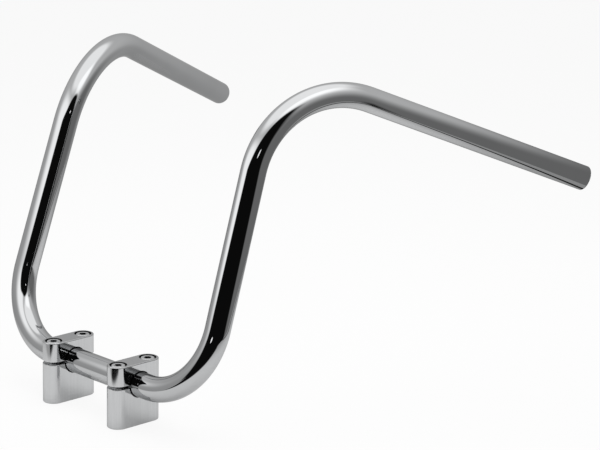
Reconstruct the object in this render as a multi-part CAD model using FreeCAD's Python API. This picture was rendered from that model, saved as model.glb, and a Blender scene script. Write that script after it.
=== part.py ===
import FreeCAD, Part

import math
import os

from FreeCAD import Rotation, Vector

# Motorcycle handlebar: one bent steel tube, clamped between two risers and their split caps.
# Millimetres. The origin lies midway between the risers, on the plane that they stand on.
# +Z is up, +X the rider's left and -Y the front of the bike.

# Bar tube, 7/8 in, bent cold from one straight length
tube_od = 22.2
tube_wall = 2.5
lower_bend_radius = 64.7
upper_bend_radius = 82.2
upright_straight = 134.8
grip_straight = 223.6
lean_back_deg = 18.05
lean_in_deg = 1.87
grip_sweep_deg = 65.95
grip_drop_deg = 21.47
bend_clearance = 10.9
end_round = 0.8
end_chamfer = 0.5

# Riser and cap, milled bars with round ends on the screw centres
clamp_spacing = 88.9
axis_height = 37.1
cap_crown = 7.65
split_gap = 2.6
bore_clearance = 0.05
bore_chamfer = 0.8
web_beside_bore = 1.1
counterbore_wall = 2.4
edge_round = 0.9
split_edge_round = 0.5

# Cap screw with a socket head, M8
screw_diameter = 8.0
screw_length = 30.0
head_diameter = 13.0
head_height = 8.0
head_edge = 0.8
socket_across_flats = 6.0
socket_depth = 4.0
tip_chamfer = 1.0
head_recess = 0.4
head_clearance = 0.8
shank_clearance = 0.25
thread_clearance = 0.05
drill_relief = 3.0
mouth_chamfer = 0.4

# Tapped hole in each riser's foot, M10, for the bolt from below
base_thread_diameter = 10.0
base_hole_floor = 6.0

DRILL_POINT_DEG = 118.0

X_AXIS = Vector(1, 0, 0)
Z_AXIS = Vector(0, 0, 1)

tube_radius = tube_od / 2
bore_radius = tube_radius + bore_clearance
screw_radius = screw_diameter / 2
cap_hole_radius = screw_radius + shank_clearance
tapped_radius = screw_radius + thread_clearance
counterbore_radius = head_diameter / 2 + head_clearance
clamp_half_width = counterbore_radius + counterbore_wall
clamp_x = clamp_spacing / 2
screw_y = bore_radius + web_beside_bore + cap_hole_radius
riser_top = axis_height - split_gap / 2
cap_bottom = axis_height + split_gap / 2
cap_top = axis_height + bore_radius + cap_crown
screw_seat = cap_top - head_recess - head_height
centre_half = clamp_x + clamp_half_width + bend_clearance


def grip_direction():
    """Way out along the grip on the +X side: swept back by grip_sweep_deg, down by grip_drop_deg."""
    level = Rotation(Z_AXIS, grip_sweep_deg).multVec(X_AXIS)
    drop = math.radians(grip_drop_deg)
    return level * math.cos(drop) - Z_AXIS * math.sin(drop)


def upright_direction():
    """Way up an upright on the +X side: back by lean_back_deg and in by lean_in_deg."""
    back = math.radians(lean_back_deg)
    inward = math.radians(lean_in_deg)
    climb = Vector(0, math.sin(back), math.cos(back))
    return climb * math.cos(inward) - X_AXIS * math.sin(inward)


def bend(start, heading, new_heading, radius):
    """Arc that leaves start along heading and ends along new_heading: its edge and its end point."""
    turn_deg = math.degrees(heading.getAngle(new_heading))
    axis = heading.cross(new_heading)
    inward = new_heading - heading * heading.dot(new_heading)
    inward.normalize()
    centre = start + inward * radius
    middle = centre + Rotation(axis, turn_deg / 2).multVec(start - centre)
    end = centre + Rotation(axis, turn_deg).multVec(start - centre)
    return Part.Arc(start, middle, end).toShape(), end


def half_path():
    """Centre line from the middle of the bar to the +X end, straights joined by tangent arcs."""
    middle = Vector(0, 0, axis_height)
    upright = upright_direction()
    grip = grip_direction()
    lower_start = middle + X_AXIS * centre_half
    lower_arc, lower_end = bend(lower_start, X_AXIS, upright, lower_bend_radius)
    upper_start = lower_end + upright * upright_straight
    upper_arc, upper_end = bend(upper_start, upright, grip, upper_bend_radius)
    bar_end = upper_end + grip * grip_straight
    return [
        Part.LineSegment(middle, lower_start).toShape(),
        lower_arc,
        Part.LineSegment(lower_end, upper_start).toShape(),
        upper_arc,
        Part.LineSegment(upper_end, bar_end).toShape(),
    ]


def swept_half(radius):
    """Solid round bar of one radius along the half path."""
    path = Part.Wire(half_path())
    start = Part.Edge(Part.Circle(Vector(0, 0, axis_height), X_AXIS, radius))
    return path.makePipe(Part.Face(Part.Wire(start)))


def end_edges(solid, radius):
    """The circular edge of one radius at the bar's +X end."""
    bar_end = half_path()[-1].Vertexes[-1].Point
    return [
        edge
        for edge in solid.Edges
        if isinstance(edge.Curve, Part.Circle)
        and abs(edge.Curve.Radius - radius) < tube_wall / 10
        and (edge.Curve.Center - bar_end).Length < tube_wall / 10
    ]


def handlebar_tube():
    """Hollow tube, bent to the full path, with its two cut ends deburred."""
    half = swept_half(tube_radius).cut(swept_half(tube_radius - tube_wall))
    half = half.makeFillet(end_round, end_edges(half, tube_radius))
    half = half.makeChamfer(end_chamfer, end_edges(half, tube_radius - tube_wall))
    whole = half.fuse(half.mirror(Vector(0, 0, 0), X_AXIS))
    return whole.removeSplitter()


def round_ended_block(x, bottom, top, bottom_round, top_round):
    """Upright block, its two round ends centred on the screws, with rounded rims."""
    west, east = x - clamp_half_width, x + clamp_half_width
    outline = [
        Part.LineSegment(Vector(east, -screw_y, bottom), Vector(east, screw_y, bottom)),
        Part.Arc(
            Vector(east, screw_y, bottom),
            Vector(x, screw_y + clamp_half_width, bottom),
            Vector(west, screw_y, bottom),
        ),
        Part.LineSegment(Vector(west, screw_y, bottom), Vector(west, -screw_y, bottom)),
        Part.Arc(
            Vector(west, -screw_y, bottom),
            Vector(x, -screw_y - clamp_half_width, bottom),
            Vector(east, -screw_y, bottom),
        ),
    ]
    base = Part.Face(Part.Wire([side.toShape() for side in outline]))
    block = base.extrude(Z_AXIS * (top - bottom))
    for level, radius in ((bottom, bottom_round), (top, top_round)):
        rim = [
            edge
            for edge in block.Edges
            if abs(edge.BoundBox.ZMin - level) < split_gap / 10
            and abs(edge.BoundBox.ZMax - level) < split_gap / 10
        ]
        block = block.makeFillet(radius, rim)
    return block


def turned(profile, origin, axis):
    """Solid of revolution from (radius, height) points about an axis through origin."""
    facing = Rotation(Z_AXIS, axis)
    points = [origin + facing.multVec(Vector(r, 0, h)) for r, h in profile]
    face = Part.Face(Part.makePolygon(points + points[:1]))
    return face.revolve(origin, axis, 360)


def tube_bore(x):
    """Cutter for the tube's seat: a bore with a chamfer at each side of the clamp."""
    depth = bore_chamfer
    far = clamp_half_width
    profile = [
        (0, -far - depth),
        (bore_radius + 2 * depth, -far - depth),
        (bore_radius, -far + depth),
        (bore_radius, far - depth),
        (bore_radius + 2 * depth, far + depth),
        (0, far + depth),
    ]
    return turned(profile, Vector(x, 0, axis_height), X_AXIS)


def blind_hole(x, y, mouth, depth, radius, chamfer, way):
    """Cutter for a drilled hole with a chamfered mouth and a drill point; way points inwards."""
    point = radius / math.tan(math.radians(DRILL_POINT_DEG / 2))
    profile = [
        (0, -chamfer),
        (radius + 2 * chamfer, -chamfer),
        (radius, chamfer),
        (radius, depth),
        (0, depth + point),
    ]
    return turned(profile, Vector(x, y, mouth), way)


def riser(x):
    """Lower half of a clamp, with tapped holes for its two screws and one in its foot."""
    block = round_ended_block(x, 0, riser_top, edge_round, split_edge_round)
    block = block.cut(tube_bore(x))
    tapped_depth = riser_top - (screw_seat - screw_length) + drill_relief
    for y in (-screw_y, screw_y):
        block = block.cut(blind_hole(x, y, riser_top, tapped_depth, tapped_radius, mouth_chamfer, -Z_AXIS))
    base_radius = base_thread_diameter / 2
    base_point = base_radius / math.tan(math.radians(DRILL_POINT_DEG / 2))
    base_depth = axis_height - bore_radius - base_hole_floor - base_point
    return block.cut(blind_hole(x, 0, 0, base_depth, base_radius, mouth_chamfer, Z_AXIS))


def cap(x):
    """Upper half of a clamp, with a counterbored hole for each screw."""
    block = round_ended_block(x, cap_bottom, cap_top, split_edge_round, edge_round)
    block = block.cut(tube_bore(x))
    sunk = cap_top - screw_seat
    through = cap_top - cap_bottom
    profile = [
        (0, -mouth_chamfer),
        (counterbore_radius + 2 * mouth_chamfer, -mouth_chamfer),
        (counterbore_radius, mouth_chamfer),
        (counterbore_radius, sunk),
        (cap_hole_radius, sunk),
        (cap_hole_radius, through - mouth_chamfer),
        (cap_hole_radius + 2 * mouth_chamfer, through + mouth_chamfer),
        (0, through + mouth_chamfer),
    ]
    for y in (-screw_y, screw_y):
        block = block.cut(turned(profile, Vector(x, y, cap_top), -Z_AXIS))
    return block


def hex_socket(x, y, head_top):
    """Cutter for the six-sided socket, with the cone that its pilot drill leaves."""
    corner = socket_across_flats / math.sqrt(3)
    points = [
        Vector(
            x + corner * math.cos(math.radians(60 * side)),
            y + corner * math.sin(math.radians(60 * side)),
            head_top,
        )
        for side in range(6)
    ]
    prism = Part.Face(Part.makePolygon(points + points[:1])).extrude(Z_AXIS * -socket_depth)
    pilot_radius = socket_across_flats / 2
    pilot_point = pilot_radius / math.tan(math.radians(DRILL_POINT_DEG / 2))
    pilot = [(0, 0), (pilot_radius, 0), (pilot_radius, socket_depth), (0, socket_depth + pilot_point)]
    return prism.fuse(turned(pilot, Vector(x, y, head_top), -Z_AXIS))


def cap_screw(x, y):
    """Socket head cap screw, its thread left plain at the nominal size."""
    head_radius = head_diameter / 2
    profile = [
        (0, -screw_length),
        (screw_radius - tip_chamfer, -screw_length),
        (screw_radius, -screw_length + tip_chamfer),
        (screw_radius, 0),
        (head_radius, 0),
        (head_radius, head_height - head_edge),
        (head_radius - head_edge, head_height),
        (0, head_height),
    ]
    blank = turned(profile, Vector(x, y, screw_seat), Z_AXIS)
    return blank.cut(hex_socket(x, y, screw_seat + head_height))


def build():
    """Every sub-part under its node name."""
    nodes = {"handlebar_tube": handlebar_tube()}
    for side, x in (("left", clamp_x), ("right", -clamp_x)):
        nodes[side + "_riser"] = riser(x)
        nodes[side + "_cap"] = cap(x)
        for place, y in (("front", -screw_y), ("rear", screw_y)):
            nodes[side + "_" + place + "_screw"] = cap_screw(x, y)
    return nodes


os.makedirs("parts", exist_ok=True)
for name, shape in build().items():
    shape.Solids[0].exportStep("parts/" + name + ".step")
    print(name, len(shape.Solids), shape.isValid(), round(shape.Volume, 1))
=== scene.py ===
import math

import bmesh
import bpy
from mathutils import Matrix, Vector


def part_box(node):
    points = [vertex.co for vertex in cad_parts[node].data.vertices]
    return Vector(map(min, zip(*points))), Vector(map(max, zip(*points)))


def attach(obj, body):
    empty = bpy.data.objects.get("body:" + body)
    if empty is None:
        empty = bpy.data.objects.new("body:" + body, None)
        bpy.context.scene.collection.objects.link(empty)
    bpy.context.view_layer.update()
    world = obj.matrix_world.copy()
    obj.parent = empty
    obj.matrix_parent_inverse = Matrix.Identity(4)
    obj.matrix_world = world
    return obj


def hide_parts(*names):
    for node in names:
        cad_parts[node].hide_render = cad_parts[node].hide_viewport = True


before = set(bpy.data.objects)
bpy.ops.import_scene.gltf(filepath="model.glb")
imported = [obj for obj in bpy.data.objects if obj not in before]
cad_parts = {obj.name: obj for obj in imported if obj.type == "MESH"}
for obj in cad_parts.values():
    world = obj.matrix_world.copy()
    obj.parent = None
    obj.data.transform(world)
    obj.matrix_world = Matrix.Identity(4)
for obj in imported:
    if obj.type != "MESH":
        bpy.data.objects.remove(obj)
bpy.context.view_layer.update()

# Motorcycle handlebar: a bent chromed tube held by two risers with screwed caps. Metres.
# +Z is up, +X the rider's left and -Y the front of the bike; the risers stand on Z = 0.

MM = 0.001
X_AXIS = Vector((1, 0, 0))
Y_AXIS = Vector((0, 1, 0))
Z_AXIS = Vector((0, 0, 1))

# Bar tube, bent cold from one straight length
TUBE_RADIUS = 11.1 * MM
TUBE_WALL = 2.5 * MM
LOWER_BEND_RADIUS = 64.7 * MM
UPPER_BEND_RADIUS = 82.2 * MM
UPRIGHT_STRAIGHT = 134.8 * MM
GRIP_STRAIGHT = 223.6 * MM
LEAN_BACK = math.radians(18.05)
LEAN_IN = math.radians(1.87)
GRIP_SWEEP = math.radians(65.95)
GRIP_DROP = math.radians(21.47)
BEND_CLEARANCE = 10.9 * MM
END_ROUND = 0.8 * MM
END_CHAMFER = 0.5 * MM
TUBE_SIDES = 96
BEND_STEPS = 48

# Riser and cap, milled bars with round ends on the screw centres
RISER_LOW, RISER_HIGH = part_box("left_riser")
CAP_LOW, CAP_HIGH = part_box("left_cap")
CLAMP_X = (RISER_LOW.x + RISER_HIGH.x) / 2
CLAMP_HALF_WIDTH = (RISER_HIGH.x - RISER_LOW.x) / 2
SCREW_Y = RISER_HIGH.y - CLAMP_HALF_WIDTH
AXIS_HEIGHT = (RISER_HIGH.z + CAP_LOW.z) / 2
BORE_CLEARANCE = 0.05 * MM
BORE_RADIUS = TUBE_RADIUS + BORE_CLEARANCE
BORE_CHAMFER = 0.8 * MM
EDGE_ROUND = 0.9 * MM
SPLIT_EDGE_ROUND = 0.5 * MM
MOUTH_CHAMFER = 0.4 * MM
FOOT_HOLE_RADIUS = 5 * MM
FOOT_HOLE_FLOOR = 6 * MM
DRILL_HALF_ANGLE = math.radians(118 / 2)
CLAMP_SIDES = 128
CENTRE_HALF = CLAMP_X + CLAMP_HALF_WIDTH + BEND_CLEARANCE

# Socket head cap screws
SCREW_LOW, SCREW_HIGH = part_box("left_front_screw")
SCREW_RADIUS = 4 * MM
HEAD_RADIUS = (SCREW_HIGH.x - SCREW_LOW.x) / 2
HEAD_HEIGHT = 8 * MM
HEAD_EDGE = 0.8 * MM
SOCKET_ACROSS_FLATS = 6 * MM
SOCKET_DEPTH = 4 * MM
TIP_CHAMFER = 1 * MM
DRILL_RELIEF = 3 * MM
HEAD_CLEARANCE = 0.8 * MM
SHANK_CLEARANCE = 0.25 * MM
THREAD_CLEARANCE = 0.05 * MM
COUNTERBORE_RADIUS = HEAD_RADIUS + HEAD_CLEARANCE
CAP_HOLE_RADIUS = SCREW_RADIUS + SHANK_CLEARANCE
TAPPED_RADIUS = SCREW_RADIUS + THREAD_CLEARANCE
SCREW_SEAT = SCREW_HIGH.z - HEAD_HEIGHT
TURNED_SIDES = 96
ROUND_STEPS = 4

SMOOTH_ANGLE = math.radians(32)
MERGE_DISTANCE = 0.002 * MM


# Materials

# Chromium mirrors a little less than other metals at a grazing angle.
GRAZING_TINT = "#E2E2E2"
# Middle stretch of the noise, over which a metal's tones spread
GRAIN_RANGE = (0.3, 0.7)
GRAIN_DETAIL = 2
COLOUR_MIX = {"data_type": "RGBA"}


def linear(code):
    """An sRGB hex colour as linear red, green, blue and full cover."""
    levels = [int(code[i : i + 2], 16) / 255 for i in (1, 3, 5)]
    return [c / 12.92 if c <= 0.04045 else ((c + 0.055) / 1.055) ** 2.4 for c in levels] + [1]


def add_node(tree, kind, settings=None, inputs=None):
    """A shader node with its settings; an input is a value or the socket that feeds it."""
    made = tree.nodes.new(kind)
    for name, value in (settings or {}).items():
        setattr(made, name, value)
    for name, value in (inputs or {}).items():
        if isinstance(value, bpy.types.NodeSocket):
            tree.links.new(value, made.inputs[name])
        else:
            made.inputs[name].default_value = value
    return made


def new_material(name):
    """An empty material, its node tree and its output node."""
    material = bpy.data.materials.new(name)
    material.use_nodes = True
    material.node_tree.nodes.clear()
    output = add_node(material.node_tree, "ShaderNodeOutputMaterial")
    return material, material.node_tree, output


def metal(name, tones, roughness, grain_mm, depth_mm):
    """Metal whose shade, gloss and relief follow one grain, sized along X, Y and Z."""
    material, tree, output = new_material(name)
    sized = add_node(
        tree,
        "ShaderNodeMapping",
        inputs={
            "Vector": add_node(tree, "ShaderNodeTexCoord").outputs["Object"],
            "Scale": [1 / (size * MM) for size in grain_mm],
        },
    )
    grain = add_node(
        tree,
        "ShaderNodeTexNoise",
        inputs={"Vector": sized.outputs["Vector"], "Scale": 1, "Detail": GRAIN_DETAIL},
    ).outputs["Fac"]
    spread = add_node(
        tree,
        "ShaderNodeMapRange",
        inputs={"Value": grain, "From Min": GRAIN_RANGE[0], "From Max": GRAIN_RANGE[1]},
    ).outputs["Result"]
    shade = add_node(
        tree,
        "ShaderNodeMix",
        COLOUR_MIX,
        {"Factor": spread, 6: linear(tones[0]), 7: linear(tones[1])},
    )
    gloss = add_node(
        tree,
        "ShaderNodeMapRange",
        inputs={"Value": spread, "To Min": roughness[0], "To Max": roughness[1]},
    )
    relief = add_node(tree, "ShaderNodeBump", inputs={"Height": grain, "Distance": depth_mm * MM})
    shader = add_node(
        tree,
        "ShaderNodeBsdfPrincipled",
        inputs={
            "Base Color": shade.outputs[2],
            "Metallic": 1,
            "Roughness": gloss.outputs["Result"],
            "Specular Tint": linear(GRAZING_TINT),
            "Normal": relief.outputs["Normal"],
        },
    )
    tree.links.new(shader.outputs["BSDF"], output.inputs["Surface"])
    return material


# Bright chrome plate on buffed tube: a clear mirror with long, faint buffing waves
tube_chrome = metal("buffed_chrome_plate", ("#C2C3C4", "#C6C7C8"), (0.015, 0.03), (40, 40, 40), 0.02)
# Bright chrome plate on milled steel: upright tool lines show through, so the mirror is a little hazy.
# The real lines are finer and are drawn just wide enough to show.
clamp_chrome = metal("milled_chrome_plate", ("#CACBCC", "#D1D2D3"), (0.06, 0.11), (1.3, 1.3, 45), 0.004)
# Bright chrome plate on turned steel: an even haze takes in the light overhead, and a base paler than
# chrome's own adds painted highlight, so the heads look whiter
screw_chrome = metal("turned_chrome_plate", ("#DADBDC", "#E4E5E6"), (0.24, 0.34), (2, 2, 2), 0.004)
# Bare drawn steel inside the tube: dull grey, mottled
drawn_steel = metal("drawn_steel_bore", ("#55575A", "#7A7C80"), (0.4, 0.5), (3, 3, 3), 0.03)
# Bare cut steel in holes and recesses, which the plating does not reach: dull, and painted nearly black as
# the shade inside them
recess_painted_shade = metal("bare_steel_recess_painted_shade", ("#0B0C0D", "#17181A"), (0.45, 0.6), (0.8, 0.8, 0.8), 0.01)


# Modelling helpers

def start_piece(name, finish, add, **settings):
    """A primitive in one finish with nothing else selected, its place kept in its mesh."""
    bpy.ops.object.select_all(action="DESELECT")
    add(**settings)
    bpy.ops.object.transform_apply()
    piece = bpy.context.object
    piece.name = name
    piece.data.name = name
    piece.data.materials.append(finish)
    return piece


def activate(piece):
    """Makes one piece the only selected and active one."""
    bpy.ops.object.select_all(action="DESELECT")
    piece.select_set(True)
    bpy.context.view_layer.objects.active = piece


def pick(kind, test):
    """Selects in edit mode the vertices that pass the test, or the edges with both ends passing it."""
    bpy.ops.mesh.select_mode(type=kind)
    bpy.ops.mesh.select_all(action="DESELECT")
    mesh = bpy.context.edit_object.data
    shape = bmesh.from_edit_mesh(mesh)
    if kind == "VERT":
        for vert in shape.verts:
            vert.select = test(vert.co)
    else:
        for edge in shape.edges:
            edge.select = all(test(vert.co) for vert in edge.verts)
    shape.select_flush_mode()
    bmesh.update_edit_mesh(mesh)


def extrude(way):
    """Extrudes what is selected by a vector and leaves the new end selected."""
    bpy.ops.mesh.extrude_region_move(TRANSFORM_OT_translate={"value": way})


def close_mesh():
    """Merges doubles and turns every face outwards."""
    bpy.ops.mesh.select_all(action="SELECT")
    bpy.ops.mesh.remove_doubles(threshold=MERGE_DISTANCE)
    bpy.ops.mesh.normals_make_consistent(inside=False)


def apply_modifier(piece, kind, **settings):
    """Adds a modifier with its settings and applies it."""
    activate(piece)
    modifier = piece.modifiers.new(kind.title(), kind)
    for name, value in settings.items():
        setattr(modifier, name, value)
    bpy.ops.object.modifier_apply(modifier=modifier.name)


def cut(piece, cutter):
    """Takes the cutter's form out of the piece and leaves the cutter's finish in the hole."""
    apply_modifier(
        piece,
        "BOOLEAN",
        operation="DIFFERENCE",
        solver="EXACT",
        material_mode="TRANSFER",
        object=cutter,
    )
    bpy.data.objects.remove(cutter)


def turned(name, finish, profile, place, axis=Z_AXIS):
    """A closed turned form from (radius, height) points, spun about an axis through place."""
    piece = start_piece(name, finish, bpy.ops.mesh.primitive_plane_add, size=MM)
    bpy.ops.object.mode_set(mode="EDIT")
    bpy.ops.mesh.select_mode(type="VERT")
    bpy.ops.mesh.select_all(action="SELECT")
    bpy.ops.mesh.merge(type="CENTER")
    points = [Vector((radius, 0, height)) for radius, height in profile]
    bpy.ops.transform.translate(value=points[0])
    for before, after in zip(points, points[1:]):
        bpy.ops.mesh.extrude_vertices_move(TRANSFORM_OT_translate={"value": after - before})
    bpy.ops.mesh.select_all(action="SELECT")
    bpy.ops.mesh.spin(steps=TURNED_SIDES, angle=2 * math.pi, center=(0, 0, 0), axis=Z_AXIS)
    close_mesh()
    bpy.ops.object.mode_set(mode="OBJECT")
    piece.matrix_world = Matrix.Translation(place) @ Z_AXIS.rotation_difference(axis).to_matrix().to_4x4()
    activate(piece)
    bpy.ops.object.transform_apply()
    return piece


def smooth(piece):
    """Smooth shading up to the sharp edges, with each flat keeping its own normal."""
    activate(piece)
    bpy.ops.object.shade_smooth_by_angle(angle=SMOOTH_ANGLE)
    apply_modifier(piece, "WEIGHTED_NORMAL", keep_sharp=True)


def copy_piece(piece, name, way):
    """A copy with its own mesh, moved by a vector."""
    twin = piece.copy()
    twin.data = piece.data.copy()
    twin.name = name
    twin.data.name = name
    bpy.context.scene.collection.objects.link(twin)
    twin.location = way
    activate(twin)
    bpy.ops.object.transform_apply()
    return twin


# Bar tube

def bend(start, heading, new_heading, radius):
    """Spins the selected ring round a bend and gives the point where the bend ends."""
    axis = heading.cross(new_heading).normalized()
    turn = heading.angle(new_heading)
    inward = (new_heading - heading * heading.dot(new_heading)).normalized()
    centre = start + inward * radius
    # Spin turns clockwise about its axis.
    bpy.ops.mesh.spin(steps=BEND_STEPS, angle=turn, center=centre, axis=-axis)
    return centre + Matrix.Rotation(turn, 3, axis) @ (start - centre)


def bar_tube():
    """Half the bar drawn along its path, mirrored, given its wall and deburred at the ends."""
    upright = Vector((-math.sin(LEAN_IN), math.sin(LEAN_BACK), math.cos(LEAN_BACK)))
    upright.yz *= math.cos(LEAN_IN)
    grip = Vector((math.cos(GRIP_SWEEP), math.sin(GRIP_SWEEP), 0)) * math.cos(GRIP_DROP)
    grip.z = -math.sin(GRIP_DROP)
    middle = Vector((0, 0, AXIS_HEIGHT))
    tube = start_piece(
        "bar_tube",
        tube_chrome,
        bpy.ops.mesh.primitive_circle_add,
        vertices=TUBE_SIDES,
        radius=TUBE_RADIUS,
        location=middle,
        rotation=(0, math.pi / 2, 0),
    )
    bpy.ops.object.mode_set(mode="EDIT")
    bpy.ops.mesh.select_all(action="SELECT")
    extrude(X_AXIS * CENTRE_HALF)
    lower_end = bend(middle + X_AXIS * CENTRE_HALF, X_AXIS, upright, LOWER_BEND_RADIUS)
    extrude(upright * UPRIGHT_STRAIGHT)
    upper_end = bend(lower_end + upright * UPRIGHT_STRAIGHT, upright, grip, UPPER_BEND_RADIUS)
    extrude(grip * GRIP_STRAIGHT)
    bpy.ops.object.mode_set(mode="OBJECT")
    apply_modifier(tube, "MIRROR")
    bpy.ops.object.mode_set(mode="EDIT")
    close_mesh()
    bpy.ops.object.mode_set(mode="OBJECT")
    tube.data.materials.append(drawn_steel)
    apply_modifier(tube, "SOLIDIFY", thickness=TUBE_WALL, offset=-1, material_offset=1)
    deburr(upper_end + grip * GRIP_STRAIGHT, grip)
    smooth(tube)
    return tube


def deburr(bar_end, grip):
    """Rounds the outer rim and chamfers the inner rim of both cut ends."""
    def on_rim(radius):
        def test(co):
            from_end = Vector((abs(co.x), co.y, co.z)) - bar_end
            level = abs(from_end.dot(grip)) < END_CHAMFER / 10
            return level and abs(from_end.length - radius) < TUBE_WALL / 4
        return test

    bpy.ops.object.mode_set(mode="EDIT")
    pick("EDGE", on_rim(TUBE_RADIUS))
    bpy.ops.mesh.bevel(offset=END_ROUND, segments=ROUND_STEPS, affect="EDGES")
    pick("EDGE", on_rim(TUBE_RADIUS - TUBE_WALL))
    bpy.ops.mesh.bevel(offset=END_CHAMFER, segments=1, affect="EDGES")
    bpy.ops.object.mode_set(mode="OBJECT")


# Risers and caps

def round_ended_block(name, low, high, bottom_round, top_round):
    """Upright block whose two round ends are centred on the screws, with rounded rims."""
    # The cylinder starts half a step round, so that no corner lies between its two halves.
    block = start_piece(
        name,
        clamp_chrome,
        bpy.ops.mesh.primitive_cylinder_add,
        vertices=CLAMP_SIDES,
        radius=CLAMP_HALF_WIDTH,
        depth=high.z - low.z,
        location=(low + high) / 2,
        rotation=(0, 0, math.pi / CLAMP_SIDES),
    )
    bpy.ops.object.mode_set(mode="EDIT")
    for side in (-1, 1):
        pick("VERT", lambda co: co.y * side > 0)
        bpy.ops.transform.translate(value=Y_AXIS * SCREW_Y * side)
    for level, radius in ((low.z, bottom_round), (high.z, top_round)):
        pick("EDGE", lambda co: abs(co.z - level) < MERGE_DISTANCE)
        bpy.ops.mesh.bevel(offset=radius, segments=ROUND_STEPS, affect="EDGES")
    bpy.ops.object.mode_set(mode="OBJECT")
    return block


def bore_cutter():
    """The tube's seat: a bore with a chamfer at each side of the clamp."""
    far, depth = CLAMP_HALF_WIDTH, BORE_CHAMFER
    profile = [
        (0, -far - depth),
        (BORE_RADIUS + 2 * depth, -far - depth),
        (BORE_RADIUS, -far + depth),
        (BORE_RADIUS, far - depth),
        (BORE_RADIUS + 2 * depth, far + depth),
        (0, far + depth),
    ]
    return turned("bore_cutter", recess_painted_shade, profile, Vector((CLAMP_X, 0, AXIS_HEIGHT)), X_AXIS)


def hole_cutter(place, depth, radius, way):
    """A drilled hole with a chamfered mouth and a drill point; way points inwards."""
    profile = [
        (0, -MOUTH_CHAMFER),
        (radius + 2 * MOUTH_CHAMFER, -MOUTH_CHAMFER),
        (radius, MOUTH_CHAMFER),
        (radius, depth),
        (0, depth + radius / math.tan(DRILL_HALF_ANGLE)),
    ]
    return turned("hole_cutter", recess_painted_shade, profile, place, way)


def riser():
    """Lower half of a clamp, with two tapped holes for its screws and one in its foot."""
    block = round_ended_block("left_riser_piece", RISER_LOW, RISER_HIGH, EDGE_ROUND, SPLIT_EDGE_ROUND)
    cut(block, bore_cutter())
    tapped_depth = RISER_HIGH.z - SCREW_LOW.z + DRILL_RELIEF
    for y in (-SCREW_Y, SCREW_Y):
        mouth = Vector((CLAMP_X, y, RISER_HIGH.z))
        cut(block, hole_cutter(mouth, tapped_depth, TAPPED_RADIUS, -Z_AXIS))
    foot_point = FOOT_HOLE_RADIUS / math.tan(DRILL_HALF_ANGLE)
    foot_depth = AXIS_HEIGHT - BORE_RADIUS - FOOT_HOLE_FLOOR - foot_point
    cut(block, hole_cutter(Vector((CLAMP_X, 0, 0)), foot_depth, FOOT_HOLE_RADIUS, Z_AXIS))
    smooth(block)
    return block


def cap():
    """Upper half of a clamp, with a counterbored hole for each screw."""
    block = round_ended_block("left_cap_piece", CAP_LOW, CAP_HIGH, SPLIT_EDGE_ROUND, EDGE_ROUND)
    cut(block, bore_cutter())
    sunk = CAP_HIGH.z - SCREW_SEAT
    through = CAP_HIGH.z - CAP_LOW.z
    profile = [
        (0, -MOUTH_CHAMFER),
        (COUNTERBORE_RADIUS + 2 * MOUTH_CHAMFER, -MOUTH_CHAMFER),
        (COUNTERBORE_RADIUS, MOUTH_CHAMFER),
        (COUNTERBORE_RADIUS, sunk),
        (CAP_HOLE_RADIUS, sunk),
        (CAP_HOLE_RADIUS, through - MOUTH_CHAMFER),
        (CAP_HOLE_RADIUS + 2 * MOUTH_CHAMFER, through + MOUTH_CHAMFER),
        (0, through + MOUTH_CHAMFER),
    ]
    for y in (-SCREW_Y, SCREW_Y):
        mouth = Vector((CLAMP_X, y, CAP_HIGH.z))
        cut(block, turned("counterbore_cutter", recess_painted_shade, profile, mouth, -Z_AXIS))
    smooth(block)
    return block


# Cap screws

def cap_screw():
    """Socket head cap screw with a hexagonal socket and its pilot hole."""
    length = SCREW_SEAT - SCREW_LOW.z
    profile = [
        (0, -length),
        (SCREW_RADIUS - TIP_CHAMFER, -length),
        (SCREW_RADIUS, -length + TIP_CHAMFER),
        (SCREW_RADIUS, 0),
        (HEAD_RADIUS, 0),
        (HEAD_RADIUS, HEAD_HEIGHT - HEAD_EDGE),
        (HEAD_RADIUS - HEAD_EDGE, HEAD_HEIGHT),
        (0, HEAD_HEIGHT),
    ]
    place = Vector((CLAMP_X, -SCREW_Y, SCREW_SEAT))
    screw = turned("left_front_screw_piece", screw_chrome, profile, place)
    top = place + Z_AXIS * HEAD_HEIGHT
    socket = start_piece(
        "socket_cutter",
        recess_painted_shade,
        bpy.ops.mesh.primitive_cylinder_add,
        vertices=6,
        radius=SOCKET_ACROSS_FLATS / math.sqrt(3),
        depth=2 * SOCKET_DEPTH,
        location=top,
        rotation=(0, 0, math.pi / 6),
    )
    cut(screw, socket)
    pilot_radius = SOCKET_ACROSS_FLATS / 2
    pilot = [
        (0, 0),
        (pilot_radius, 0),
        (pilot_radius, SOCKET_DEPTH),
        (0, SOCKET_DEPTH + pilot_radius / math.tan(DRILL_HALF_ANGLE)),
    ]
    cut(screw, turned("pilot_cutter", recess_painted_shade, pilot, top, -Z_AXIS))
    smooth(screw)
    return screw


# Pieces in place

left_riser, left_cap, screw = riser(), cap(), cap_screw()
to_right = X_AXIS * -2 * CLAMP_X
to_rear = Y_AXIS * 2 * SCREW_Y
placed = [
    (bar_tube(), "handlebar_tube", "chrome_tube"),
    (left_riser, "left_riser", "chrome_clamp"),
    (left_cap, "left_cap", "chrome_clamp"),
    (copy_piece(left_riser, "right_riser_piece", to_right), "right_riser", "chrome_clamp"),
    (copy_piece(left_cap, "right_cap_piece", to_right), "right_cap", "chrome_clamp"),
    (screw, "left_front_screw", "chrome_screw"),
    (copy_piece(screw, "left_rear_screw_piece", to_rear), "left_rear_screw", "chrome_screw"),
    (copy_piece(screw, "right_front_screw_piece", to_right), "right_front_screw", "chrome_screw"),
    (copy_piece(screw, "right_rear_screw_piece", to_right + to_rear), "right_rear_screw", "chrome_screw"),
]
for piece, cad_node, slot in placed:
    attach(piece, "root")
    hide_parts(cad_node)


# Stage

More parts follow.
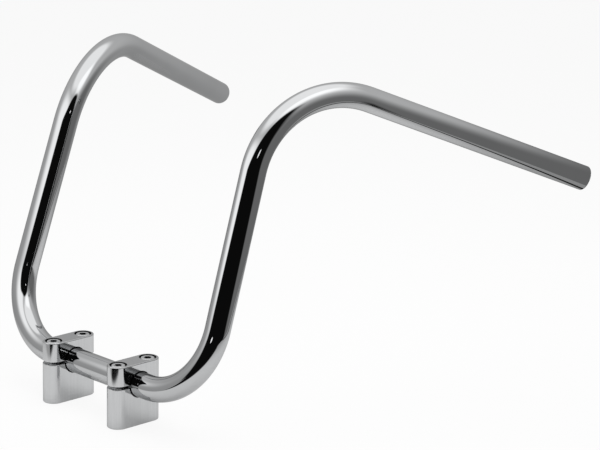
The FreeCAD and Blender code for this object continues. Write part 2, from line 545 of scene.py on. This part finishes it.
PALE = "#FEFEFE"
FILL_GREY = "#BCBCBC"
FLOOR_SIZE = 12
FLOOR_SHADOW = 0.1
SOFT_BOX_SIZE = 1200 * MM
SOFT_BOX_HEIGHT = 1100 * MM
SOFT_BOX_WATTS = 8.3

# Camera, fitted to the bar's outline in the photograph
CAMERA_PLACE = Vector((1485.337, -1215.482, 674.694)) * MM
CAMERA_AZIMUTH = math.radians(45.556)
CAMERA_ELEVATION = math.radians(14.747)
CAMERA_ROLL = math.radians(1.248)
CAMERA_LENS_MM = 137.72
CAMERA_SENSOR_MM = 36

# Light tent round the bar, open towards the camera. Its greys are those that the chrome shows.
# Angles go round from the middle of the opening, by the front to the rider's right.
# Heights count from the middle of the clamped tube.
CHROME_REFLECTANCE = 0.565
TENT_RADIUS = 455 * MM
TENT_HEIGHT = 1300 * MM
TENT_Y = 75 * MM
TENT_SIDES = 128
FLOOR_LIFT = 0.2 * MM

# Opening, a pointed arch that leans over above the bar
OPENING_GREY = "#0A0A0A"
OPENING_TURN = math.radians(134)
OPENING_HALF_WIDTH = math.radians(51)
OPENING_HEIGHT = 585 * MM
OPENING_POINT = 1.8
OPENING_EDGE = (0.97, 1.2)
OPENING_LEAN_LOW, OPENING_LEAN_HIGH = math.radians(-1.5), math.radians(7)
OPENING_LEANS_FROM, OPENING_LEANS_TO = 300 * MM, 480 * MM

# Cloth, whiter with height
# A patch is its angle and height, its half sizes in degrees and mm, and its grey.
CLOTH_GREY = "#8A8A8A"
CLOTH_RISES = [(-40 * MM, 500 * MM, "#A8A8A8"), (600 * MM, 950 * MM, "#E2E2E2")]
SHADED_CLOTH = [(-78, 80, 56, 260, "#606060")]
LIT_CLOTH = [(55, 375, 42, 235, "#ECECEC"), (-42, 830, 38, 310, "#FDFDFD")]
CLOTH_PATCH_EDGE = (1.45, 0.55)
LAMPS_BEYOND = [(-14, 345, 3.5, 15, "#FAFAFA"), (16, 95, 3.5, 15, "#FAFAFA")]
LAMP_EDGE = (1.2, 0.8)

# Floor: dark in front of the opening, then a white board with a dark gap along its side, whose shade is
# painted as a dark strip.
# An edge of the board is a place on it, its turn and half the width over which it fades.
DARK_FLOOR_MIDDLE = math.radians(10)
DARK_FLOOR_HALF = math.radians(37.5)
DARK_FLOOR_SOFT = math.radians(3)
BOARD_GREY = "#BCBCBC"
BOARD_FAR_GREY = "#919191"
BOARD_SIDE = ((294 * MM, 264 * MM), math.radians(127), 6 * MM)
BOARD_EDGES = [
    BOARD_SIDE,
    ((30 * MM, -150 * MM), math.radians(4), 15 * MM),
    ((150 * MM, -130 * MM), math.radians(19), 15 * MM),
]
# Painted pool of light: the board's grey fades from BOARD_GREY round this place to BOARD_FAR_GREY further
# out
BOARD_LIT = (30 * MM, 60 * MM)
BOARD_LIT_FROM, BOARD_LIT_TO = 180 * MM, 420 * MM
BOARD_SHADOW = 0.8
# Painted shade of the gap beside the board, a dark strip on the floor
GAP_SHADE_GREY = "#191919"
GAP_WIDTH = 25 * MM

EASED = {"interpolation_type": "SMOOTHSTEP"}


def photo_camera():
    """The camera where the photograph was taken from, a long lens a little above the bar."""
    data = bpy.data.cameras.new("photo_camera")
    data.sensor_width = CAMERA_SENSOR_MM
    data.lens = CAMERA_LENS_MM
    camera = bpy.data.objects.new("photo_camera", data)
    camera.matrix_world = (
        Matrix.Translation(CAMERA_PLACE)
        @ Matrix.Rotation(CAMERA_AZIMUTH, 4, "Z")
        @ Matrix.Rotation(math.pi / 2 - CAMERA_ELEVATION, 4, "X")
        @ Matrix.Rotation(CAMERA_ROLL, 4, "Z")
    )
    bpy.context.scene.collection.objects.link(camera)
    bpy.context.scene.camera = camera


def shown_in_chrome(code):
    """Light that the chrome shows as this colour."""
    return [level / CHROME_REFLECTANCE for level in linear(code)[:3]] + [1]


def soft_edge(tree, value, low, high, first, second):
    """Tone that goes softly from first to second while the value goes from low to high."""
    share = add_node(
        tree, "ShaderNodeMapRange", EASED, {"Value": value, "From Min": low, "From Max": high}
    ).outputs["Result"]
    return add_node(tree, "ShaderNodeMix", COLOUR_MIX, {"Factor": share, 6: first, 7: second}).outputs[2]


def mirrored_only(name, material, add, **settings):
    """A studio prop that shows only in what mirrors it and takes no light from the scene."""
    bpy.ops.object.select_all(action="DESELECT")
    add(**settings)
    bpy.ops.object.transform_apply()
    prop = bpy.context.object
    prop.name = name
    prop.data.materials.append(material)
    for ray in ("camera", "diffuse", "transmission", "volume_scatter", "shadow"):
        setattr(prop, "visible_" + ray, False)


def from_opening(tree):
    """Angle round the tent from the opening's middle, and height above the clamped tube."""
    turned_to_opening = add_node(
        tree,
        "ShaderNodeMapping",
        {"vector_type": "TEXTURE"},
        {
            "Vector": add_node(tree, "ShaderNodeTexCoord").outputs["Object"],
            "Location": (0, TENT_Y, AXIS_HEIGHT),
            "Rotation": (0, 0, -OPENING_TURN),
        },
    ).outputs["Vector"]
    place = add_node(tree, "ShaderNodeSeparateXYZ", inputs={"Vector": turned_to_opening}).outputs
    angle = add_node(tree, "ShaderNodeMath", {"operation": "ARCTAN2"}, {0: place["X"], 1: place["Y"]})
    return angle.outputs[0], place["Z"]


def arch_reach(tree, angle, height):
    """One on the outline of the leaning, pointed opening, less within it and more on the cloth."""
    lean = add_node(
        tree,
        "ShaderNodeMapRange",
        EASED,
        {
            "Value": height,
            "From Min": OPENING_LEANS_FROM,
            "From Max": OPENING_LEANS_TO,
            "To Min": OPENING_LEAN_LOW,
            "To Max": OPENING_LEAN_HIGH,
        },
    ).outputs["Result"]
    across = add_node(tree, "ShaderNodeMath", {"operation": "ADD"}, {0: angle, 1: lean}).outputs[0]
    climb = add_node(tree, "ShaderNodeMath", {"operation": "MAXIMUM"}, {0: height, 1: 0}).outputs[0]
    parts = []
    for distance, reach in ((across, OPENING_HALF_WIDTH), (climb, OPENING_HEIGHT)):
        part = add_node(tree, "ShaderNodeMath", {"operation": "DIVIDE"}, {0: distance, 1: reach}).outputs[0]
        part = add_node(tree, "ShaderNodeMath", {"operation": "ABSOLUTE"}, {0: part}).outputs[0]
        part = add_node(tree, "ShaderNodeMath", {"operation": "POWER"}, {0: part, 1: OPENING_POINT})
        parts.append(part.outputs[0])
    return add_node(tree, "ShaderNodeMath", {"operation": "ADD"}, dict(enumerate(parts))).outputs[0]


def patched(tree, tone, wall_place, patch, edge):
    """The tone with one oval patch on it."""
    degrees, height_mm, half_degrees, half_mm, patch_grey = patch
    on_patch = add_node(
        tree,
        "ShaderNodeMapping",
        {"vector_type": "TEXTURE"},
        {
            "Vector": wall_place,
            "Location": (math.radians(degrees), height_mm * MM, 0),
            "Scale": (math.radians(half_degrees), half_mm * MM, 1),
        },
    ).outputs["Vector"]
    from_middle = add_node(tree, "ShaderNodeVectorMath", {"operation": "LENGTH"}, {0: on_patch})
    return soft_edge(tree, from_middle.outputs["Value"], *edge, tone, shown_in_chrome(patch_grey))


def tent_cloth():
    """Pale cloth, whiter overhead and where lamps stand behind it, and the dark opening with two lamps."""
    material, tree, output = new_material("pale_tent_cloth")
    material.cycles.emission_sampling = "NONE"
    angle, height = from_opening(tree)
    wall_place = add_node(tree, "ShaderNodeCombineXYZ", inputs={"X": angle, "Y": height}).outputs["Vector"]
    tone = shown_in_chrome(CLOTH_GREY)
    for below, above, higher_grey in CLOTH_RISES:
        tone = soft_edge(tree, height, below, above, tone, shown_in_chrome(higher_grey))
    for patch in SHADED_CLOTH + LIT_CLOTH:
        tone = patched(tree, tone, wall_place, patch, CLOTH_PATCH_EDGE)
    arch = arch_reach(tree, angle, height)
    tone = soft_edge(tree, arch, *OPENING_EDGE, shown_in_chrome(OPENING_GREY), tone)
    for lamp in LAMPS_BEYOND:
        tone = patched(tree, tone, wall_place, lamp, LAMP_EDGE)
    glow = add_node(tree, "ShaderNodeEmission", inputs={"Color": tone})
    tree.links.new(glow.outputs["Emission"], output.inputs["Surface"])
    return material


def inside_edge(tree, place, turn):
    """Distance on the floor from a straight edge, above nought on the board's side of it."""
    from_edge = add_node(
        tree,
        "ShaderNodeMapping",
        {"vector_type": "TEXTURE"},
        {
            "Vector": add_node(tree, "ShaderNodeTexCoord").outputs["Object"],
            "Location": (*place, FLOOR_LIFT),
            "Rotation": (0, 0, turn),
        },
    ).outputs["Vector"]
    return add_node(tree, "ShaderNodeSeparateXYZ", inputs={"Vector": from_edge}).outputs["Y"]


def bare_floor(tree):
    """The floor without its board: cloth, the dark in front of the opening, and the painted shade of the
    gap.
    """
    angle, _ = from_opening(tree)
    turn = add_node(tree, "ShaderNodeMath", {"operation": "SUBTRACT"}, {0: angle, 1: DARK_FLOOR_MIDDLE})
    turn = add_node(tree, "ShaderNodeMath", {"operation": "ABSOLUTE"}, {0: turn.outputs[0]}).outputs[0]
    low, high = DARK_FLOOR_HALF - DARK_FLOOR_SOFT, DARK_FLOOR_HALF + DARK_FLOOR_SOFT
    tone = soft_edge(tree, turn, low, high, shown_in_chrome(OPENING_GREY), shown_in_chrome(CLOTH_GREY))
    place, side_turn, soft = BOARD_SIDE
    inside = inside_edge(tree, place, side_turn)
    half_gap = GAP_WIDTH / 2
    from_gap = add_node(tree, "ShaderNodeMath", {"operation": "ADD"}, {0: inside, 1: half_gap}).outputs[0]
    from_gap = add_node(tree, "ShaderNodeMath", {"operation": "ABSOLUTE"}, {0: from_gap}).outputs[0]
    return soft_edge(tree, from_gap, half_gap, half_gap + soft, shown_in_chrome(GAP_SHADE_GREY), tone)


def tent_floor():
    """White paper board on the tent's floor, with a painted pool of light brightest under the bar, and some
    of the bar's shadow.
    """
    material, tree, output = new_material("white_paper_board")
    floor = bare_floor(tree)
    from_lit = add_node(
        tree,
        "ShaderNodeVectorMath",
        {"operation": "DISTANCE"},
        {0: add_node(tree, "ShaderNodeTexCoord").outputs["Object"], 1: (*BOARD_LIT, FLOOR_LIFT)},
    ).outputs["Value"]
    # Painted pool of light on the board
    near, far = shown_in_chrome(BOARD_GREY), shown_in_chrome(BOARD_FAR_GREY)
    tone = soft_edge(tree, from_lit, BOARD_LIT_FROM, BOARD_LIT_TO, near, far)
    for place, turn, soft in BOARD_EDGES:
        tone = soft_edge(tree, inside_edge(tree, place, turn), -soft, soft, floor, tone)
    paper = add_node(tree, "ShaderNodeBsdfDiffuse", inputs={"Color": tone}).outputs["BSDF"]
    even = add_node(tree, "ShaderNodeEmission", inputs={"Color": tone}).outputs["Emission"]
    shown = add_node(tree, "ShaderNodeMixShader", inputs={"Fac": BOARD_SHADOW, 1: even, 2: paper})
    tree.links.new(shown.outputs[0], output.inputs["Surface"])
    return material


def light_tent():
    """Round tent and its floor, which the chrome mirrors."""
    mirrored_only(
        "light_tent",
        tent_cloth(),
        bpy.ops.mesh.primitive_cylinder_add,
        vertices=TENT_SIDES,
        radius=TENT_RADIUS,
        depth=TENT_HEIGHT,
        location=(0, TENT_Y, TENT_HEIGHT / 2 - FLOOR_LIFT),
    )
    mirrored_only(
        "tent_floor",
        tent_floor(),
        bpy.ops.mesh.primitive_circle_add,
        vertices=TENT_SIDES,
        radius=TENT_RADIUS,
        fill_type="NGON",
        location=(0, TENT_Y, FLOOR_LIFT),
    )


def shown_rays(tree):
    """One for rays from the camera and for those that metal or glass turn, else nought."""
    path = add_node(tree, "ShaderNodeLightPath").outputs
    seen = path["Is Camera Ray"]
    for kind in ("Is Glossy Ray", "Is Transmission Ray"):
        either = {0: seen, 1: path[kind]}
        seen = add_node(tree, "ShaderNodeMath", {"operation": "MAXIMUM"}, either).outputs[0]
    return seen


def studio_floor():
    """Pale floor that keeps a faint shadow of the bar."""
    bpy.ops.object.select_all(action="DESELECT")
    bpy.ops.mesh.primitive_plane_add(size=FLOOR_SIZE)
    floor = bpy.context.object
    floor.name = "studio_floor"
    material, tree, output = new_material("pale_paper_floor")
    paper = add_node(tree, "ShaderNodeBsdfDiffuse", inputs={"Color": linear(PALE)}).outputs["BSDF"]
    white = add_node(tree, "ShaderNodeEmission", inputs={"Color": linear(PALE)}).outputs["Emission"]
    shown = add_node(tree, "ShaderNodeMixShader", inputs={"Fac": FLOOR_SHADOW, 1: white, 2: paper})
    floor_shader = add_node(
        tree, "ShaderNodeMixShader", inputs={"Fac": shown_rays(tree), 1: paper, 2: shown.outputs[0]}
    )
    tree.links.new(floor_shader.outputs[0], output.inputs["Surface"])
    floor.data.materials.append(material)


def soft_box():
    """Square soft box overhead."""
    data = bpy.data.lights.new("soft_box", "AREA")
    data.shape = "SQUARE"
    data.size = SOFT_BOX_SIZE
    data.energy = SOFT_BOX_WATTS
    lamp = bpy.data.objects.new("soft_box", data)
    lamp.location = (0, TENT_Y, SOFT_BOX_HEIGHT)
    lamp.visible_glossy = False
    bpy.context.scene.collection.objects.link(lamp)


def pale_world():
    """Even grey fill light, seen as the pale background."""
    world = bpy.data.worlds.new("pale_studio")
    bpy.context.scene.world = world
    world.use_nodes = True
    tree = world.node_tree
    tree.nodes.clear()
    tint = add_node(
        tree,
        "ShaderNodeMix",
        COLOUR_MIX,
        {"Factor": shown_rays(tree), 6: linear(FILL_GREY), 7: linear(PALE)},
    )
    fill = add_node(tree, "ShaderNodeBackground", inputs={"Color": tint.outputs[2]})
    output = add_node(tree, "ShaderNodeOutputWorld")
    tree.links.new(fill.outputs["Background"], output.inputs["Surface"])


photo_camera()
light_tent()
studio_floor()
soft_box()
pale_world()
bpy.context.scene.view_settings.view_transform = "Standard"
